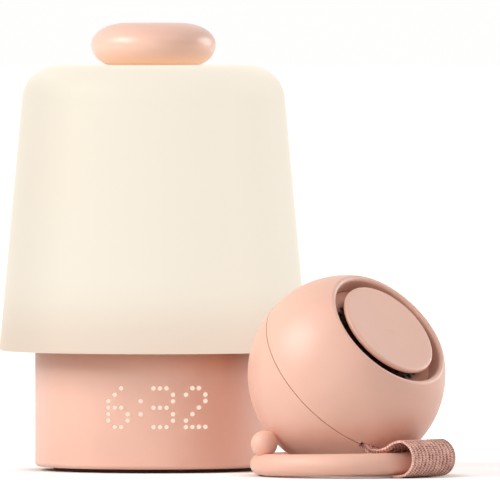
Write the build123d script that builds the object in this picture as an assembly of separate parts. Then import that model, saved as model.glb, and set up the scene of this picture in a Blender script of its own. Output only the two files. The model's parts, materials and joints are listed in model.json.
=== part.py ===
"""Two-unit sound machine: a bedside lamp with a dial and clock, and a ball-shaped portable speaker.

Millimetres, +Z up, origin on the table under the bedside unit's axis. The clock looks along -Y.
Each function builds one sub-part or one family of like sub-parts and returns closed solids.
"""
from build123d import *
import math
import os

# ---------------------------------------------------------------- bedside unit: driving dimensions
base_radius = 46.8
base_wall = 2.4
foot_inset = 7.3              # the rubber foot ring stands this far inside the housing's outline
foot_width = 6.5
foot_groove = 0.6             # how deep the ring sits in the bottom cover
foot_fit = 0.1
foot_edge_round = 0.5
foot_radius = base_radius - foot_inset
foot_inner_radius = foot_radius - foot_width
base_bottom = 1.5             # lower edge of the housing above the table
base_top = 54.0
base_bottom_round = 1.6
base_top_round = 3.0
cover_lift = 0.5              # the cover's lower face above the housing's lower edge
cover_thickness = 2.6
cover_clearance = 0.25
cover_boss_circle = (foot_radius + foot_inner_radius) / 2
cover_boss_radius = 3.2
cover_boss_top = 18.0
cover_web_thickness = 2.0
cover_screws = 4
first_screw_angle = 45.0
screw_radius = 1.2            # M2.5 self-tapping shank
screw_head_radius = 2.2
screw_head_height = 1.2
screw_head_round = 0.4
screw_length = 9.0
screw_clearance = 0.06
screw_slot_width = 0.5
screw_slot_depth = 0.6

column_radius = 11.0
column_wall = 2.5
column_flange_radius = 18.0
column_flange_thickness = 2.5
column_stub_radius = 9.8
column_stub_length = 7.0
column_flange_round = 0.8
column_nut_radius = 15.0
column_nut_height = 4.0
column_nut_sides = 8
column_fit = 0.1

light_board_inset = 6.8       # the board's edge inside the housing's outline
light_board_radius = base_radius - light_board_inset
light_board_gap = 0.4
board_thickness = 1.6
light_led_size = 5.0
light_led_height = 1.5
light_led_circle = 29.0
light_leds_count = 12

shade_bottom = 47.1
shade_top = 159.9
shade_bottom_radius = 61.0
shade_slope_top_radius = 50.8  # where the straight side would meet the top plane
shade_corner_round = 14.0
shade_wall = 2.4
shade_rim_round = 1.0

press_travel = 0.5
dial_radius = 24.6
dial_height = 16.9
dial_widest_above_bottom = 8.35
dial_flat_radius = 10.5        # flat middle of the dial's top
dial_bottom_flat_radius = 15.6
dial_press_room = 0.15         # air left under the dial when it is pressed
dial_gap = press_travel + dial_press_room
dial_well_radius = 20.0        # shallow well in the shade's top that hides the gap
dial_well_depth = 0.8
dial_wall = 2.4
dial_hub_radius = 5.5
dial_underplate_rim = 2.0      # the underplate's edge inside the flat underside
dial_underplate_radius = dial_bottom_flat_radius - dial_underplate_rim
dial_underplate_thickness = 1.6
dial_underplate_seat = 1.2
dial_underplate_fit = 0.1
dial_shaft_roof = 2.0          # plastic above the shaft's end

encoder_size = 11.8
encoder_height = 6.5
encoder_floor = 0.8
bushing_radius = 3.9
bushing_fit = 0.1
bushing_over_nut = 0.6
shaft_radius = 3.0
shaft_clearance = 0.05
shaft_end_gap = 0.05
plunger_radius = 3.4
plunger_height = 1.0
plunger_room = 0.15            # air under the pressed plunger
plunger_headroom = 0.5
plunger_pocket_radius = 4.6
nut_radius = 5.6
nut_height = 1.8
nut_fit = 0.06
nut_room = 1.2                 # air around the nut inside a knob
nut_headroom = 2.0

clock_rows = 7
clock_columns = 16
clock_pitch = 2.54
clock_centre_x = 1.55
clock_centre_z = 25.8
clock_hole_radius = 0.95
clock_led_size = 1.2
clock_led_height = 0.6
clock_window_wall = 0.9        # thin wall in front of the lights
clock_margin = 1.9
clock_mask_depth = 8.2         # the mask's flat back behind the housing's outer face
clock_mask_back = base_radius - clock_mask_depth
clock_mask_rim = 0.9
clock_mask_rim_wall = 1.0
clock_bore_overrun = 6.0
clock_fit = 0.15

main_board_half_width = 17.5
main_board_front_inset = 14.8
main_board_rear_inset = 6.8
main_board_front = base_radius - main_board_front_inset
main_board_rear = base_radius - main_board_rear_inset
main_board_height = 6.4
board_post_radius = 2.2
board_post_x = 13.0
board_post_y = 26.0

main_chips = (                 # x, y, width, length, height
    (0.0, -8.0, 12.0, 12.0, 1.4),
    (11.0, -7.0, 6.0, 6.0, 1.0),
    (-11.5, 6.5, 5.0, 5.0, 3.0),
    (6.0, 7.0, 6.0, 6.0, 1.2),
)
capacitor_radius = 2.5
capacitor_height = 6.5
capacitor_places = ((-12.0, -22.0), (-4.0, -24.0), (12.0, -22.0))

inlet_width = 8.94             # USB-C receptacle shell
inlet_height = 3.26
inlet_depth = 7.3
inlet_margin = 0.35
inlet_wall = 0.4
inlet_wall_gap = 0.3           # air between the receptacle's mouth and the housing
tongue_width = 5.8
tongue_thickness = 0.7

speaker_flange_width = 3.0
speaker_flange_thickness = 1.4
speaker_roll_width = 3.4
speaker_cone_thickness = 0.5
speaker_cone_rim = 2.2         # the cone's rim below the front face
speaker_basket_wall = 1.2
speaker_window_width = 5.2
speaker_gasket_thickness = 1.0
speaker_gasket_step = 0.6
speaker_cap_height = 2.0
speaker_coil_slot = 1.6
speaker_surround_wall = 0.4
speaker_fit = 0.06
magnet_chamfer = 0.6

base_speaker_radius = 18.0
base_speaker_depth = 9.5
base_magnet_radius = 10.0
base_magnet_height = 5.5
base_coil_radius = 6.5
base_basket_windows = 5
grille_hole_radius = 1.1
grille_pitch = 3.6
grille_radius = 13.6
speaker_centre_z = 30.5
speaker_inset = 10.4           # the speaker's front face behind the housing's outer face
speaker_face_depth = base_radius - speaker_inset
speaker_boss_wall = 2.2

# ---------------------------------------------------------------- portable unit: driving dimensions
ball_radius = 38.7
ball_lift = 0.9                # the ball's lowest point above the table
ball_spacing = 1.5             # least distance in plan between the shade and the ball
ball_bearing = 41.44           # where the ball stands, degrees from +X towards -Y
ball_distance = shade_bottom_radius + ball_spacing + ball_radius
ball_x = ball_distance * math.cos(math.radians(ball_bearing))
ball_y = -ball_distance * math.sin(math.radians(ball_bearing))
ball_z = ball_radius + ball_lift
ball_wall = 2.2
face_azimuth = 49.6            # degrees from -Y towards +X
face_elevation = 39.6
seam_offset = -0.15            # seam plane's distance from the ball's centre, towards the face
seam_gap = 0.35
seam_lip_wall = 0.9
seam_lip_height = 2.0
seam_fit = 0.1
mouth_radius = 25.0            # recess around the volume disc
mouth_round = 1.4
mouth_tube_wall = 2.0
mouth_height = math.sqrt(ball_radius ** 2 - mouth_radius ** 2)
disc_gap = 3.9                 # annular gap between the disc and the recess
disc_radius = mouth_radius - disc_gap
disc_recess = 1.15             # the disc's face below the plane of the mouth's edge
disc_top = mouth_height - disc_recess
disc_thickness = 2.2
disc_edge_round = 1.05         # nearly half the thickness, above and below
disc_dish = 0.4
disc_dish_rim = 2.0
disc_hub_radius = 6.5
disc_hub_height = 2.0
disc_shaft_roof = 1.2
disc_to_grille = 7.9
grille_top = disc_top - disc_to_grille
grille_thickness = 2.0
grille_ledge = 1.6
grille_fit = 0.2
disc_grille_hole_radius = 1.15
disc_grille_first_circle = 11.5
disc_grille_circle_step = 3.5
disc_grille_circles = 3
disc_grille_first_count = 18
disc_grille_count_step = 6
mouth_tube_below_grille = 8.5
mouth_tube_bottom = grille_top - mouth_tube_below_grille
foot_pad_radius = 8.0
foot_pad_pocket = 1.1
foot_pad_fit = 0.1
foot_pad_round = 0.3
foot_pad_top = ball_lift + foot_pad_pocket
ball_speaker_overhang = 1.8    # the speaker's edge outside the recess
ball_speaker_radius = mouth_radius + ball_speaker_overhang
ball_speaker_depth = 12.0
ball_magnet_radius = 14.0
ball_magnet_height = 6.5
ball_coil_radius = 9.5
ball_basket_windows = 6
battery_length = 36.0
battery_width = 28.0
battery_thickness = 7.5
battery_pad_thickness = 2.0
battery_edge_round = 1.5
cradle_plate = 1.4
cradle_rim = 1.2
cradle_rim_height = 3.0
cradle_fit = 0.1
cradle_shell_gap = 0.05
cradle_leg_radius = 2.4
cradle_leg_x = 17.0
cradle_leg_y = 11.0
control_board_length = 40.0
control_board_width = 27.0
control_board_gap = 2.0
control_board_room = 0.3       # air between the board's corners and the shell
charge_shelf_thickness = 1.6
charge_board_width = 14.0
charge_board_length = 11.0
charge_board_inset = 2.0
charge_board_end = 1.9
control_chips = (              # x, y, width, length, height
    (0.0, 0.0, 10.0, 10.0, 1.2),
    (9.75, 5.5, 4.5, 5.0, 1.0),
    (-10.0, -5.0, 4.0, 4.0, 2.0),
)

# ---------------------------------------------------------------- ring, toggle and strap
ring_inset = 5.3               # the ring's centre line is this much smaller than the ball
ring_radius = ball_radius - ring_inset
ring_tube_radius = 4.3
ring_offset = 5.5              # ring's centre lies this far in front of the ball's centre
ring_strap_angle = 52.0        # where the strap holds the ring, degrees from -Y towards +X
toggle_angle = -74.0
toggle_radius = 5.2
toggle_height = 8.2            # toggle ball's centre above the tube's centre line
toggle_stem_radius = 1.5
toggle_foot_radius = 2.6
toggle_foot_height = 1.0
toggle_foot_recess = 0.6
toggle_fit = 0.05
strap_thickness = 1.0
strap_width = 28.0
strap_ring_gap = 0.2
strap_outer_round = 7.4        # outer radius of the loop's big end
strap_outer_centre = 3.0
strap_inner_round = 5.2
strap_inner_centre = -4.0
strap_root_width = 10.0
strap_root_thickness = 1.5
strap_root_reach = 4.6         # how far the bunched end stands out of the slot
strap_slot_angle = -108.6      # where the strap enters the seam, about the face's axis from its right
strap_slot_length = 12.0
strap_slot_height = 2.4
strap_pin_radius = 1.2
strap_pin_length = 16.0
strap_pin_inset = 6.1
strap_pin_depth = ball_radius - strap_pin_inset
strap_pin_drop = 1.9           # the pin lies this far behind the slot's middle
strap_pin_fit = 0.03
strap_eye_wall = 1.3
strap_neck_thickness = 2.0
lug_gap = 0.2

PART_FOLDER = "parts"


# ---------------------------------------------------------------- small helpers
def drum(radius, low, high):
    """Solid cylinder about Z between two heights."""
    return Pos(0, 0, low) * Cylinder(radius, high - low, align=(Align.CENTER, Align.CENTER, Align.MIN))


def sleeve(outer, inner, low, high):
    """Hollow cylinder about Z between two heights."""
    return drum(outer, low, high) - drum(inner, low - 1, high + 1)


def block(low, high):
    """Box between two opposite corners."""
    size = [high[i] - low[i] for i in range(3)]
    centre = [(high[i] + low[i]) / 2 for i in range(3)]
    return Pos(*centre) * Box(*size)


def turned(outline):
    """Solid of revolution about Z of a closed list of edges drawn in the XZ plane."""
    return revolve(make_face(outline), Axis.Z)


def line_xz(start, end):
    """Straight edge between two (radius, height) points."""
    return Line((start[0], 0, start[1]), (end[0], 0, end[1]))


def oval_xz(centre, across, up, start, end):
    """Elliptical edge in the XZ plane between two angles in degrees."""
    plane = Plane(origin=(centre[0], 0, centre[1]), x_dir=(1, 0, 0), z_dir=(0, -1, 0))
    return plane * EllipticalCenterArc((0, 0), across, up, start, arc_size=end - start)


def cap_xz(radius, foot, height):
    """Circular edge in the XZ plane from (radius, foot) up to the axis."""
    big = (radius ** 2 + height ** 2) / (2 * height)
    half = math.asin(radius / big) / 2
    middle = (big * math.sin(half), 0, foot + height - big * (1 - math.cos(half)))
    return ThreePointArc((radius, 0, foot), middle, (0, 0, foot + height))


def unit(vector):
    """The vector at length one."""
    length = math.sqrt(sum(v * v for v in vector))
    return tuple(v / length for v in vector)


def cross(a, b):
    """Vector product."""
    return (a[1] * b[2] - a[2] * b[1], a[2] * b[0] - a[0] * b[2], a[0] * b[1] - a[1] * b[0])


def along(origin, *steps):
    """Point reached from an origin by (direction, distance) steps."""
    point = list(origin)
    for direction, distance in steps:
        for i in range(3):
            point[i] += direction[i] * distance
    return tuple(point)


# ---------------------------------------------------------------- frames worked out from the dimensions
azimuth = math.radians(face_azimuth)
elevation = math.radians(face_elevation)
ball_centre = (ball_x, ball_y, ball_z)
face_axis = (
    math.cos(elevation) * math.sin(azimuth),
    -math.cos(elevation) * math.cos(azimuth),
    math.sin(elevation),
)
face_side = (math.cos(azimuth), math.sin(azimuth), 0.0)
face_frame = Plane(origin=ball_centre, x_dir=face_side, z_dir=face_axis)

speaker_frame = Plane(
    origin=(0, speaker_face_depth, speaker_centre_z), x_dir=(-1, 0, 0), z_dir=(0, 1, 0)
)

ring_lift = strap_thickness + strap_ring_gap
strap_azimuth = math.radians(ring_strap_angle)
strap_out = (math.sin(strap_azimuth), -math.cos(strap_azimuth), 0.0)
strap_along = (math.cos(strap_azimuth), math.sin(strap_azimuth), 0.0)
ring_tilt = math.asin(ring_lift / (2 * ring_radius))
ring_centre = (ball_x, ball_y - ring_offset, ring_tube_radius + ring_lift / 2)
ring_towards_strap = (
    strap_out[0] * math.cos(ring_tilt),
    strap_out[1] * math.cos(ring_tilt),
    math.sin(ring_tilt),
)
ring_normal = cross(ring_towards_strap, unit(strap_along))
ring_frame = Plane(origin=ring_centre, x_dir=ring_towards_strap, z_dir=ring_normal)
ring_hold = along(ring_centre, (ring_towards_strap, ring_radius))

charge_axis = unit((-math.sin(azimuth), math.cos(azimuth), 0.0))
charge_frame = Plane(
    origin=along(ball_centre, (charge_axis, ball_radius - charge_board_inset)),
    x_dir=cross(charge_axis, (0, 0, 1)),
    z_dir=(0, 0, 1),
)
charge_level = -inlet_height / 2

face_up = cross(face_axis, face_side)
seam_radius = math.sqrt(ball_radius ** 2 - seam_offset ** 2)
slot_out = unit(along(
    (0, 0, 0),
    (face_axis, seam_offset),
    (face_side, seam_radius * math.cos(math.radians(strap_slot_angle))),
    (face_up, seam_radius * math.sin(math.radians(strap_slot_angle))),
))
slot_along = unit(cross(face_axis, slot_out))
slot_frame = Plane(origin=ball_centre, x_dir=slot_along, z_dir=slot_out)


# ---------------------------------------------------------------- shared components
pocket_floor = encoder_floor - encoder_height
plunger_low = pocket_floor + press_travel + plunger_room
plunger_top = plunger_low + plunger_height


def encoder(bushing_length):
    """Push encoder hanging from z = 0 under its mounting wall, with room for the plunger and shaft."""
    half = encoder_size / 2
    body = block((-half, -half, -encoder_height), (half, half, 0)) + drum(bushing_radius, 0, bushing_length)
    body -= drum(shaft_radius + shaft_clearance, plunger_low, bushing_length + 1)
    return body - drum(plunger_pocket_radius, pocket_floor, plunger_top + plunger_headroom)


def encoder_plunger():
    """Push plate at the shaft's foot; it moves down with the shaft but doesn't turn."""
    return drum(plunger_radius, plunger_low, plunger_top)


def encoder_shaft(length):
    """Turning shaft that stands on the plunger."""
    return drum(shaft_radius, plunger_top + shaft_end_gap, length)


def ring_nut():
    """Hexagonal nut with a plain bore, standing on z = 0."""
    blank = extrude(RegularPolygon(nut_radius, 6), nut_height)
    return blank - drum(bushing_radius + nut_fit, -1, nut_height + 1)


class Speaker:
    """Sizes of a round loudspeaker whose front face lies on z = 0 and looks along +Z."""

    def __init__(self, radius, depth, magnet_radius, magnet_height, coil_radius, windows):
        self.radius = radius
        self.depth = depth
        self.magnet_radius = magnet_radius
        self.magnet_height = magnet_height
        self.coil_radius = coil_radius
        self.windows = windows

    def inside(self):
        """Radius of the flange's opening."""
        return self.radius - speaker_flange_width

    def cone_radius(self):
        """Outer radius of the moving cone."""
        return self.inside() - speaker_roll_width

    def gasket(self):
        """Foam ring between the flange and the housing."""
        return sleeve(self.radius, self.inside() + speaker_gasket_step, 0, speaker_gasket_thickness)

    def basket(self):
        """Flange, open conical basket and back ring."""
        wall = speaker_basket_wall
        flange = sleeve(self.radius, self.inside(), -speaker_flange_thickness, 0)
        rim_low = -speaker_cone_rim - wall
        rim = sleeve(self.inside() + wall, self.inside(), rim_low, 0)
        ledge_top = -speaker_cone_rim - self.roll_drop()
        ledge_inner = self.inside() - 2 * speaker_surround_wall
        ledge = sleeve(self.inside() + wall / 2, ledge_inner, rim_low, ledge_top)
        top = self.inside() + wall
        back = self.magnet_radius
        shell = turned([
            line_xz((top, rim_low), (back, -self.depth)),
            line_xz((back, -self.depth), (back - wall, -self.depth)),
            line_xz((back - wall, -self.depth), (top - wall, rim_low)),
            line_xz((top - wall, rim_low), (top, rim_low)),
        ])
        half = speaker_window_width / 2
        window = block(
            (self.coil_radius + 2 * wall, -half, -self.depth + wall), (self.radius, half, rim_low - wall)
        )
        for turn in range(self.windows):
            shell -= Rot(0, 0, 360 * turn / self.windows) * window
        back_ring = sleeve(back, self.coil_radius + wall, -self.depth, -self.depth + wall)
        return flange + rim + ledge + shell + back_ring

    def roll_drop(self):
        """How far the surround's feet lie below the cone's rim."""
        return speaker_surround_wall * 0.75

    def magnet(self):
        """Magnet with its pole plates and the annular slot in which the coil moves."""
        low = -self.depth - self.magnet_height
        body = drum(self.magnet_radius, low, -self.depth)
        body = chamfer(body.edges().group_by(Axis.Z)[0], magnet_chamfer)
        half = speaker_coil_slot / 2
        slot_low = -self.depth - self.magnet_height * 0.6
        return body - sleeve(self.coil_radius + half, self.coil_radius - half, slot_low, 1)

    def cone(self):
        """Paper cone, dust cap and coil former in one moving piece."""
        neck = -self.depth + speaker_roll_width
        rim = -speaker_cone_rim
        wall = speaker_cone_thickness
        coil = self.coil_radius
        rise = (rim - neck) / (self.cone_radius() - coil)
        cap_radius = coil + 1.0
        cap_foot = neck + wall + rise
        former_foot = -self.depth - self.magnet_height * 0.35
        return turned([
            line_xz((coil - wall, former_foot), (coil, former_foot)),
            line_xz((coil, former_foot), (coil, neck)),
            line_xz((coil, neck), (self.cone_radius(), rim)),
            line_xz((self.cone_radius(), rim), (self.cone_radius(), rim + wall)),
            line_xz((self.cone_radius(), rim + wall), (cap_radius, cap_foot)),
            cap_xz(cap_radius, cap_foot, speaker_cap_height),
            line_xz((0, cap_foot + speaker_cap_height), (0, cap_foot - wall)),
            line_xz((0, cap_foot - wall), (coil - wall, cap_foot - wall)),
            line_xz((coil - wall, cap_foot - wall), (coil - wall, former_foot)),
        ])

    def surround(self):
        """Half-roll of rubber between the cone's rim and the basket's ledge."""
        inner = self.cone_radius() + speaker_fit
        outer = self.inside() - speaker_fit
        middle = (inner + outer) / 2
        half = (outer - inner) / 2
        wall = speaker_surround_wall
        foot = -speaker_cone_rim - self.roll_drop()
        return turned([
            oval_xz((middle, foot), half, half * 0.75, 0, 180),
            line_xz((inner, foot), (inner + wall, foot)),
            oval_xz((middle, foot), half - wall, half * 0.75 - wall, 0, 180),
            line_xz((outer - wall, foot), (outer, foot)),
        ])


base_speaker = Speaker(
    base_speaker_radius, base_speaker_depth, base_magnet_radius, base_magnet_height, base_coil_radius,
    base_basket_windows,
)
ball_speaker = Speaker(
    ball_speaker_radius, ball_speaker_depth, ball_magnet_radius, ball_magnet_height, ball_coil_radius,
    ball_basket_windows,
)


# ---------------------------------------------------------------- bedside unit
def clock_grid():
    """Centres of the clock's light dots, as (x, z)."""
    first_x = clock_centre_x - clock_pitch * (clock_columns - 1) / 2
    first_z = clock_centre_z - clock_pitch * (clock_rows - 1) / 2
    return [
        (first_x + clock_pitch * column, first_z + clock_pitch * row)
        for column in range(clock_columns)
        for row in range(clock_rows)
    ]


def clock_half_size():
    """Half width and half height of the mask and its pocket."""
    half_width = clock_pitch * (clock_columns - 1) / 2 + clock_margin
    half_height = clock_pitch * (clock_rows - 1) / 2 + clock_margin
    return half_width, half_height


def clock_slab(near, far, margin=0.0):
    """Box behind the clock window between two distances from the axis."""
    half_width, half_height = clock_half_size()
    return block(
        (clock_centre_x - half_width - margin, -far, clock_centre_z - half_height - margin),
        (clock_centre_x + half_width + margin, -near, clock_centre_z + half_height + margin),
    )


def grille_holes():
    """Staggered holes through the rear wall in front of the speaker."""
    hole = drum(grille_hole_radius, 0, speaker_inset + 1)
    row_step = grille_pitch * math.sqrt(3) / 2
    rows = int(grille_radius / row_step)
    reach = int(grille_radius / grille_pitch) + 1
    holes = []
    for row in range(-rows, rows + 1):
        shift = grille_pitch / 2 if row % 2 else 0.0
        for column in range(-reach, reach + 1):
            x = column * grille_pitch + shift
            z = row * row_step
            if math.hypot(x, z) <= grille_radius:
                holes.append(Pos(x, z, 0) * hole)
    return speaker_frame * Compound(children=holes)


def plug_slot(length):
    """Rounded opening for a plug, extruded from z = 0."""
    height = inlet_height + 2 * inlet_margin
    width = inlet_width + 2 * inlet_margin
    return extrude(RectangleRounded(width, height, height * 0.49), length)


def inlet_mouth():
    """Distance of the power receptacle's mouth from the axis."""
    inner = base_radius - base_wall
    return math.sqrt(inner ** 2 - (inlet_width / 2) ** 2) - inlet_wall_gap


def inlet_hole():
    """Opening for the power plug in the rear wall, with room for the receptacle behind it."""
    start = inlet_mouth() - inlet_depth - inlet_margin
    centre_z = main_board_height + board_thickness + inlet_height / 2
    frame = Plane(origin=(0, start, centre_z), x_dir=(-1, 0, 0), z_dir=(0, 1, 0))
    return frame * plug_slot(base_radius - start + 1)


def base_housing():
    """Cup-shaped housing, open below, with clock pocket, speaker boss, grille and screw bosses."""
    body = drum(base_radius, base_bottom, base_top)
    body = fillet(body.edges().group_by(Axis.Z)[-1], base_top_round)
    body = fillet(body.edges().group_by(Axis.Z)[0], base_bottom_round)
    inner = base_radius - base_wall
    body -= drum(inner, 0, base_top - base_wall)
    body -= drum(column_stub_radius + column_fit, base_top - base_wall - 1, base_top + 1)
    window_back = drum(base_radius - clock_window_wall, 0, base_top)
    body -= window_back & clock_slab(0, base_radius, clock_fit)
    boss_outer = base_speaker.radius + speaker_boss_wall
    boss = sleeve(boss_outer, base_speaker.inside(), speaker_gasket_thickness, speaker_inset)
    boss = speaker_frame * boss
    body += boss & drum(inner + base_wall / 2, 0, base_top - base_wall)
    web_half = cover_web_thickness / 2
    web_reach = inner + base_wall / 2 - cover_boss_circle
    post = drum(cover_boss_radius, cover_high, cover_boss_top)
    web = block((0, -web_half, cover_high), (web_reach, web_half, cover_boss_top))
    hole = drum(screw_radius + screw_clearance, 0, cover_low + foot_groove + screw_length + 1)
    for seat in cover_screw_seats():
        body += seat * (post + web)
    for seat in cover_screw_seats():
        body -= seat * hole
    return body - grille_holes() - inlet_hole()


cover_low = base_bottom + cover_lift
cover_high = cover_low + cover_thickness


def cover_screw_seats():
    """Places of the cover's screws, clear of the clock, the board and the speaker."""
    step = 360 / cover_screws
    return [
        Rot(0, 0, first_screw_angle + step * i) * Pos(cover_boss_circle, 0, 0) for i in range(cover_screws)
    ]


def bottom_cover():
    """Disc that closes the base, with a groove for the foot ring and four board posts."""
    cover = drum(base_radius - base_wall - cover_clearance, cover_low, cover_high)
    cover -= sleeve(foot_radius + foot_fit, foot_inner_radius - foot_fit, 0, cover_low + foot_groove)
    head_top = cover_low + foot_groove + screw_head_height
    for seat in cover_screw_seats():
        cover -= seat * drum(screw_head_radius + foot_fit, 0, head_top)
        cover -= seat * drum(screw_radius + foot_fit, 0, cover_high + 1)
    for x in (-board_post_x, board_post_x):
        for y in (-board_post_y, board_post_y):
            post = drum(board_post_radius, cover_low + cover_thickness / 2, main_board_height)
            cover += Pos(x, y, 0) * post
    return cover


def foot_ring():
    """Rubber ring on which the bedside unit stands."""
    ring = sleeve(foot_radius, foot_inner_radius, 0, cover_low + foot_groove)
    return fillet(ring.edges().group_by(Axis.Z)[0], foot_edge_round)


def cover_screw_set():
    """Four pan-head screws that hold the cover, hidden above the foot ring."""
    head_low = cover_low + foot_groove
    screw = drum(screw_head_radius, head_low, head_low + screw_head_height)
    screw = fillet(screw.edges().group_by(Axis.Z)[0], screw_head_round)
    screw += drum(screw_radius, head_low + screw_head_height / 2, head_low + screw_length)
    half = screw_slot_width / 2
    screw -= block((-screw_radius, -half, head_low - 1), (screw_radius, half, head_low + screw_slot_depth))
    return [seat * screw for seat in cover_screw_seats()]


def main_board():
    """Main circuit board, standing on the cover's posts."""
    return block(
        (-main_board_half_width, -main_board_front, main_board_height),
        (main_board_half_width, main_board_rear, main_board_height + board_thickness),
    )


def main_board_chips():
    """Processor, amplifier, coil, memory and capacitors on the main board."""
    top = Pos(0, 0, main_board_height + board_thickness)
    chips = [top * chip(*row) for row in main_chips]
    capacitor = drum(capacitor_radius, 0, capacitor_height)
    return chips + [top * Pos(x, y, 0) * capacitor for x, y in capacitor_places]


def chip(x, y, width, length, height):
    """Square-edged component standing on z = 0 with its middle at (x, y)."""
    return block((x - width / 2, y - length / 2, 0), (x + width / 2, y + length / 2, height))


def socket_shell(depth):
    """Receptacle shell lying on z = 0 with its mouth at y = 0 looking along +Y."""
    inner_width = inlet_width - 2 * inlet_wall
    inner_height = inlet_height - 2 * inlet_wall
    floor = 3 * inlet_wall
    outer = extrude(RectangleRounded(inlet_width, inlet_height, inlet_height * 0.49), depth)
    inner = extrude(RectangleRounded(inner_width, inner_height, inner_height * 0.45), depth - floor)
    half = tongue_width / 2
    thick = tongue_thickness / 2
    tongue = block((-half, -thick, 2 * inlet_wall), (half, thick, depth - inlet_wall))
    frame = Plane(origin=(0, 0, inlet_height / 2), x_dir=(1, 0, 0), z_dir=(0, -1, 0))
    return frame * (outer - inner + tongue)


def power_inlet():
    """USB-C receptacle at the rear of the base."""
    return Pos(0, inlet_mouth(), main_board_height + board_thickness) * socket_shell(inlet_depth)


def clock_mask():
    """Opaque block with one bore per dot; its front follows the housing and its back is flat."""
    solid = clock_slab(clock_mask_back, base_radius)
    mask = solid & drum(base_radius - clock_window_wall - clock_fit, 0, base_top)
    half_width, half_height = clock_half_size()
    rim_back = clock_mask_back - clock_mask_rim
    wall = clock_mask_rim_wall
    room = block(
        (clock_centre_x - half_width + wall, -clock_mask_back, clock_centre_z - half_height + wall),
        (clock_centre_x + half_width - wall, 0, clock_centre_z + half_height - wall),
    )
    mask += clock_slab(rim_back, clock_mask_back + clock_mask_rim / 2) - room
    length = clock_mask_depth + 2 * clock_bore_overrun
    bore = Cylinder(clock_hole_radius, length, rotation=(90, 0, 0))
    bores = [Pos(x, -clock_mask_back - clock_mask_depth / 2, z) * bore for x, z in clock_grid()]
    return mask - Compound(children=bores)


def clock_board():
    """Circuit board behind the mask."""
    rim_back = clock_mask_back - clock_mask_rim
    return clock_slab(rim_back - board_thickness, rim_back)


def clock_lights():
    """One small light for each dot, standing on the clock board."""
    face = clock_mask_back - clock_mask_rim
    half = clock_led_size / 2
    return [
        block((x - half, -face - clock_led_height, z - half), (x + half, -face, z + half))
        for x, z in clock_grid()
    ]


def lamp_column():
    """Tube that carries the shade: flange on the base, threaded stub below, wall for the encoder."""
    top = shade_top - shade_wall
    tube = sleeve(column_radius, column_radius - column_wall, base_top, top)
    flange = drum(column_flange_radius, base_top, base_top + column_flange_thickness)
    flange = fillet(flange.edges().group_by(Axis.Z)[-1], column_flange_round)
    stub_bottom = base_top - column_stub_length
    stub = drum(column_stub_radius, stub_bottom, base_top + 1)
    cap = drum(column_radius - column_wall / 2, top - column_wall, top)
    body = tube + flange + stub
    body -= drum(column_stub_radius - column_wall, stub_bottom - 1, base_top + column_flange_thickness)
    return body + cap - drum(bushing_radius + bushing_fit, top - column_wall - 1, top + 1)


def column_nut():
    """Large nut under the base top that clamps the column."""
    high = base_top - base_wall
    nut = extrude(RegularPolygon(column_nut_radius, column_nut_sides), column_nut_height)
    nut -= drum(column_stub_radius + column_fit, -1, column_nut_height + 1)
    return Pos(0, 0, high - column_nut_height) * nut


def light_board():
    """Ring-shaped board that carries the lamp's lights."""
    inner = column_flange_radius + light_board_gap
    return sleeve(light_board_radius, inner, base_top, base_top + board_thickness)


def light_leds():
    """Lights of the lamp on a circle around the column."""
    half = light_led_size / 2
    low = base_top + board_thickness
    light = block((-half, -half, low), (half, half, low + light_led_height))
    step = 360 / light_leds_count
    return [Rot(0, 0, step * i) * Pos(light_led_circle, 0, 0) * light for i in range(light_leds_count)]


dial_well_floor = shade_top - dial_well_depth


def shade():
    """Translucent bell with one continuous wall, a round shoulder, the dial's well and a bore."""
    outer = Polyline(
        (0, 0, shade_bottom),
        (shade_bottom_radius, 0, shade_bottom),
        (shade_slope_top_radius, 0, shade_top),
        (0, 0, shade_top),
        close=True,
    )
    body = revolve(make_face(outer), Axis.Z)
    body = fillet(body.edges().group_by(Axis.Z)[-1], shade_corner_round)
    slope = (shade_bottom_radius - shade_slope_top_radius) / (shade_top - shade_bottom)
    inner_top = shade_top - shade_wall
    inner_bottom_radius = shade_bottom_radius - shade_wall + slope
    inner_top_radius = shade_slope_top_radius - shade_wall + slope * shade_wall
    hollow = Polyline(
        (0, 0, shade_bottom - 1),
        (inner_bottom_radius, 0, shade_bottom - 1),
        (inner_top_radius, 0, inner_top),
        (0, 0, inner_top),
        close=True,
    )
    inside = revolve(make_face(hollow), Axis.Z)
    inside = fillet(inside.edges().group_by(Axis.Z)[-1], shade_corner_round - shade_wall)
    body -= inside
    body = fillet(body.edges().group_by(Axis.Z)[0], shade_rim_round)
    body -= drum(dial_well_radius, dial_well_floor, shade_top + 1)
    return body - drum(bushing_radius + bushing_fit, inner_top - 1, shade_top + 1)


dial_bottom = dial_well_floor + dial_gap
dial_top = dial_bottom + dial_height
encoder_seat = shade_top - shade_wall - column_wall
dial_bushing_length = dial_well_floor - encoder_seat + nut_height + bushing_over_nut
dial_shaft_top = dial_top - dial_wall - dial_shaft_roof


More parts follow.
